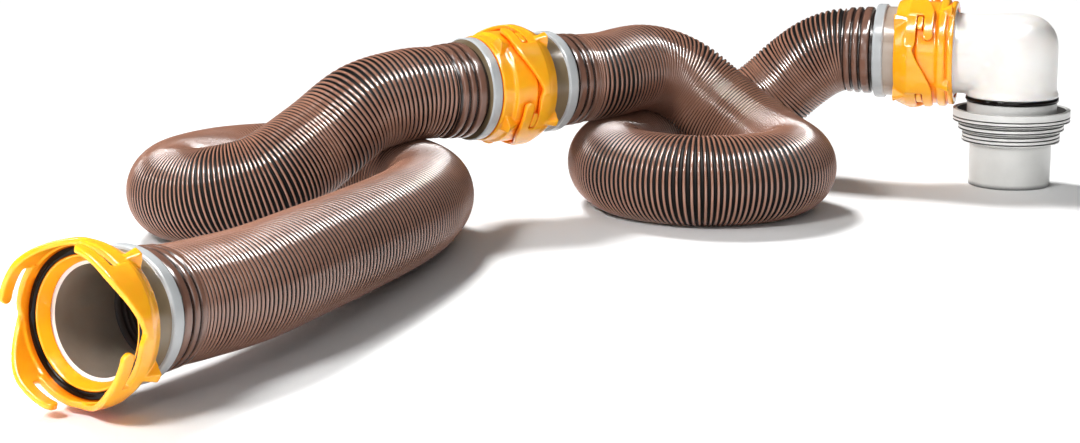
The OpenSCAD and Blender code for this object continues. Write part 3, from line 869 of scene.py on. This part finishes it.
def dome_part(radius, low, high, corner):
    """An upright cylinder with a flared foot, whose top edge is rounded."""
    foot_r = radius + FOOT_FLARE
    outline = [(AXIS_R, low), (foot_r, low), (foot_r, low + 2.6), (radius, low + 7.0)]
    for degrees in range(0, 91, 6):
        a = math.radians(degrees)
        outline.append((radius - corner + corner * math.cos(a), high - corner + corner * math.sin(a)))
    outline.append((AXIS_R, high))
    return spin(outline, TUBE_SEGMENTS)


def hub_part():
    """The elbow's journal, which its lug ring turns on."""
    outline = rounded([
        (30, 11.3), (42.6, 11.3, 0.5), (44, 12.8, 0.8), (44, 45.4, 0.5), (43.2, 46, 0.4), (30, 46)])
    return spin(outline, TUBE_SEGMENTS)


def cut(made, cutter):
    """Takes a cutter's shape out of an object, and removes the cutter."""
    difference = made.modifiers.new("cut", "BOOLEAN")
    difference.operation = "DIFFERENCE"
    difference.solver = "EXACT"
    difference.object = cutter
    settle(made)
    bpy.data.objects.remove(cutter)


def soften_junction(made):
    """Smooths the elbow where its leg runs into its upright, and leaves its journal and foot crisp."""
    blend = made.vertex_groups.new(name="blend")
    for vertex in made.data.vertices:
        x, _, z = vertex.co
        inward = min(1.0, max(0.0, (x - BLEND_X) / BLEND_FADE))
        above = min(1.0, max(0.0, (z - BLEND_Z) / BLEND_FADE))
        if inward * above > 0:
            blend.add([vertex.index], inward * above, "REPLACE")
    smooth = made.modifiers.new("blend", "SMOOTH")
    smooth.factor = 0.5
    smooth.iterations = BLEND_PASSES
    smooth.vertex_group = "blend"
    settle(made)


def elbow_object():
    """The elbow: an upright and a leg made one skin, with both bores cut out of it."""
    inlet = INLET_Z / MM
    leg_out = Matrix.Translation((0, 0, INLET_Z)) @ Matrix.Rotation(math.radians(-90), 4, "Y")
    upright = dome_part(UPRIGHT_R, UPRIGHT_LOW, inlet + LEG_R + 0.5, DOME_CORNER)
    leg = moved(tube_part(LEG_R, 0, LEG_REACH), leg_out)
    made = new_object("elbow_skin", *joined([upright, leg, moved(hub_part(), AT_ELBOW)]), [FROST])
    fused(made, ELBOW_VOXEL, ELBOW_PASSES)
    soften_junction(made)
    leg_bore = moved(tube_part(LEG_BORE_R, -6, 100), leg_out)
    upright_bore = tube_part(UPRIGHT_BORE_R, 80, inlet)
    bores = new_object("elbow_bores", *joined([leg_bore, upright_bore]), [FROST])
    fused(bores, BORES_VOXEL, BORES_PASSES)
    cut(made, bores)
    made.data.shade_smooth()
    made.data.set_sharp_from_angle(angle=math.radians(50))
    return made


put(elbow_object(), Matrix.Identity(4), "elbow", "elbow_plastic", "elbow")

SPIGOT = [
    (36.5, 47, 0.4), (42.8, 47, 0.6), (43.8, 48.4, 0.8), (43.8, 83.5, 0.8), (40.5, 83.5, 0.3),
    (40.5, 88, 0.3), (38.4, 88), (38.4, 95.9, 0.3), (36.5, 95.9, 0.3),
]
spigot = new_object("elbow_spigot_skin", *spin(rounded(SPIGOT)), [GREY])
put(spigot, Matrix.Identity(4), "elbow", "adapter_plastic", "elbow_spigot")


# ---------------------------------------------------------------- adapter
COLUMNS = 216
ROWS_PER_MM = 5.0
THREADS_FROM = 43.5
THREADS = [  # lowest, highest, root radius, crest radius, turns, plain band at the top
    (43.6, 54.6, 44.6, 47.6, 3, 0.0), (55.2, 63.0, 48.4, 51.4, 2, 0.0), (63.8, 76.0, 54.0, 57.1, 2, 5.4)]
CLIMB = 0.55  # pitches that a ridge climbs in one turn; it steps back by as much at angle 0
ADAPTER_OUTSIDE = [
    (36.5, 0.0), (39.3, 0.0), (39.7, 0.4), (39.7, 41.0), (40.2, 42.0), (44.0, 43.0), (44.6, 43.6),
    (44.6, 54.6), (47.8, 55.0), (48.4, 55.2), (48.4, 63.0), (53.4, 63.6), (54.0, 63.8), (54.0, 75.0),
    (54.0, 76.0), (53.4, 76.0), (52.9, 75.0)]
ADAPTER_INSIDE = [(48.4, 66.0), (47.6, 64.0), (47.5, 61.3), (43.9, 61.2), (43.9, 46.5), (36.5, 44.0)]


def ease(x):
    """A smooth step from 0 to 1."""
    x = min(1.0, max(0.0, x))
    return x * x * (3 - 2 * x)


def thread_lift(r, z, climb):
    """How far a thread's ridge stands out of the adapter's outside at a place, in millimetres. climb is how
    many pitches the ridge has risen there."""
    for low, high, root, crest, turns, band in THREADS:
        if low <= z <= high and abs(r - root) < 0.05:
            pitch = (high - band - low) / turns
            u = ((z - low) / pitch - climb) % 1.0 if z < high - band else 0.5
            gap = min(ease((u - 0.08) / 0.16), ease((1 - u) / 0.12))
            edge = min(ease((z - low) / 0.5), ease((high - z) / 0.5 + 0.35))
            return (crest - root) * min(gap, edge)
    return 0.0


def adapter_outline():
    """The adapter's outline, up the outside, with close rows where its threads are, and down the inside."""
    outline = []
    for (r0, z0), (r1, z1) in zip(ADAPTER_OUTSIDE[:-1], ADAPTER_OUTSIDE[1:]):
        n = max(1, int(abs(z1 - z0) * ROWS_PER_MM)) if z0 >= THREADS_FROM else 1
        outline += [(r0 + (r1 - r0) * k / n, z0 + (z1 - z0) * k / n) for k in range(n)]
    return outline + [ADAPTER_OUTSIDE[-1]] + ADAPTER_INSIDE


def adapter_mesh():
    """The stepped adapter, with climbing ridges round its steps, and the slots of its dark inner faces."""
    outline = adapter_outline()
    n = len(outline)
    outside = n - len(ADAPTER_INSIDE)
    vertices, faces, dark = [], [], []
    for c in range(COLUMNS):
        a = 2 * math.pi * c / COLUMNS
        for i, (r, z) in enumerate(outline):
            lift = thread_lift(r, z, CLIMB * c / COLUMNS) if i < outside else 0.0
            vertices.append(((r + lift) * math.cos(a) * MM, (r + lift) * math.sin(a) * MM, z * MM))
    for c in range(COLUMNS):
        q = (c + 1) % COLUMNS
        faces += [(c * n + i, q * n + i, q * n + (i + 1) % n, c * n + (i + 1) % n) for i in range(n)]
        dark += [1 if outside - 1 <= i < n - 3 else 0 for i in range(n)]
    return vertices, faces, dark


vertices, faces, dark = adapter_mesh()
adapter = new_object("adapter_skin", vertices, faces, [GREY, DARK_GREY], dark, smooth_angle=55)
put(adapter, Matrix.Identity(4), "adapter", "adapter_plastic", "sewer_adapter")


# ---------------------------------------------------------------- finishes of the CAD nodes that stay
for node in ("front_swivel_seal", "mid_swivel_seal", "rear_swivel_seal", "mid_lug_seal", "elbow_lug_seal",
             "adapter_seal"):
    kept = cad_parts[node]
    kept.data.materials.clear()
    kept.data.materials.append(RUBBER)
    kept.data.shade_smooth()


# ---------------------------------------------------------------- floor, light and look
CENTRE = (-0.30, -0.35, 0.06)
FLOOR_REACH = 14.0


def floor():
    """The plain pale floor."""
    made, tree, shader, add = material("floor")
    grain = add("ShaderNodeTexNoise", {"Vector": place(add), "Scale": 3.0, "Detail": 2.0})
    tone = ramp(add, grain.outputs["Fac"], [(0.3, (0.86, 0.86, 0.86)), (0.7, (0.88, 0.88, 0.88))])
    tree.links.new(tone, shader.inputs["Base Color"])
    shader.inputs["Roughness"].default_value = 0.55
    far = FLOOR_REACH
    corners = [(-far, -far, 0), (far, -far, 0), (far, far, 0), (-far, far, 0)]
    plane = new_object("floor", corners, [(0, 1, 2, 3)], [made], smooth_angle=0)


def turned_to(made, aim_at):
    """Points a lamp at a place, and links it to the scene."""
    made.rotation_euler = (Vector(aim_at) - made.location).to_track_quat("-Z", "Y").to_euler()
    bpy.context.scene.collection.objects.link(made)


def sunlight(name, at, aim_at, strength, spread):
    """A soft sun, spread degrees wide, that gives no mirror highlights."""
    data = bpy.data.lights.new(name, "SUN")
    data.energy = strength
    data.angle = math.radians(spread)
    made = bpy.data.objects.new(name, data)
    made.location = at
    made.visible_glossy = False
    turned_to(made, aim_at)


def softbox(name, at, aim_at, size, power, highlights_only=False):
    """A rectangular lamp, in watts. highlights_only keeps it out of diffuse light."""
    data = bpy.data.lights.new(name, "AREA")
    data.shape = "RECTANGLE"
    data.size, data.size_y = size
    data.energy = power
    made = bpy.data.objects.new(name, data)
    made.location = at
    made.visible_diffuse = not highlights_only
    turned_to(made, aim_at)


floor()
sunlight("key", (-1.6, 0.9, 2.3), CENTRE, strength=4.9, spread=14)
softbox("front_fill", (0.3, -4.2, 1.2), CENTRE, size=(2.4, 1.4), power=40)
softbox("strip", (0.15, -1.25, 2.5), CENTRE, size=(2.2, 0.32), power=110, highlights_only=True)
softbox("long_strip", (0.60, -0.90, 2.3), (-0.40, -0.60, 0.06), size=(2.2, 0.30), power=140,
        highlights_only=True)
softbox("left_strip", (-2.4, -1.5, 1.5), CENTRE, size=(0.4, 1.4), power=13)
softbox("mouth", (-1.0, -2.0, 1.3), FRONT, size=(0.4, 0.4), power=34)

world = bpy.data.worlds.new("world")
world.use_nodes = True
world.node_tree.nodes["Background"].inputs["Color"].default_value = (1, 1, 1, 1)
world.node_tree.nodes["Background"].inputs["Strength"].default_value = 0.07
bpy.context.scene.world = world
bpy.context.scene.view_settings.view_transform = "Standard"
bpy.context.scene.view_settings.look = "None"
